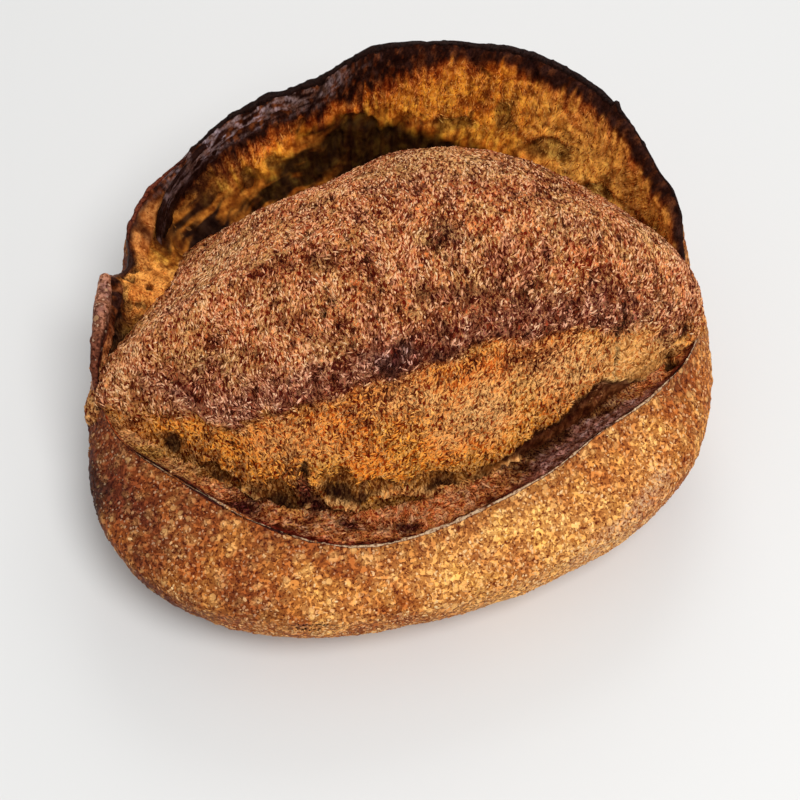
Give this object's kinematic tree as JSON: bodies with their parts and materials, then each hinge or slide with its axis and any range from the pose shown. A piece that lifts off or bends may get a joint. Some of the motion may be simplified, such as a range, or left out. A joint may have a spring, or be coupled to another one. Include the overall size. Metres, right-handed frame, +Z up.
{
  "type": "sourdough loaf",
  "caption": "Round hearth-baked sourdough loaf with a tall torn ear behind a domed bloom, a low lip in front, and a flat base.",
  "frame": {"origin": "centre of the loaf's bounding box, at the level of its flat base", "axes": "+X runs along the slash, from the end with the torn flaps to the plain end; +Y points from the low lip to the tall ear; +Z up"},
  "size_m": [0.243, 0.2127, 0.128],
  "materials": {
    "crust": "dull baked brown crust, rough and flaky"
  },
  "bodies": {
    "root": {"loaf": "crust"}
  },
  "joints": []
}
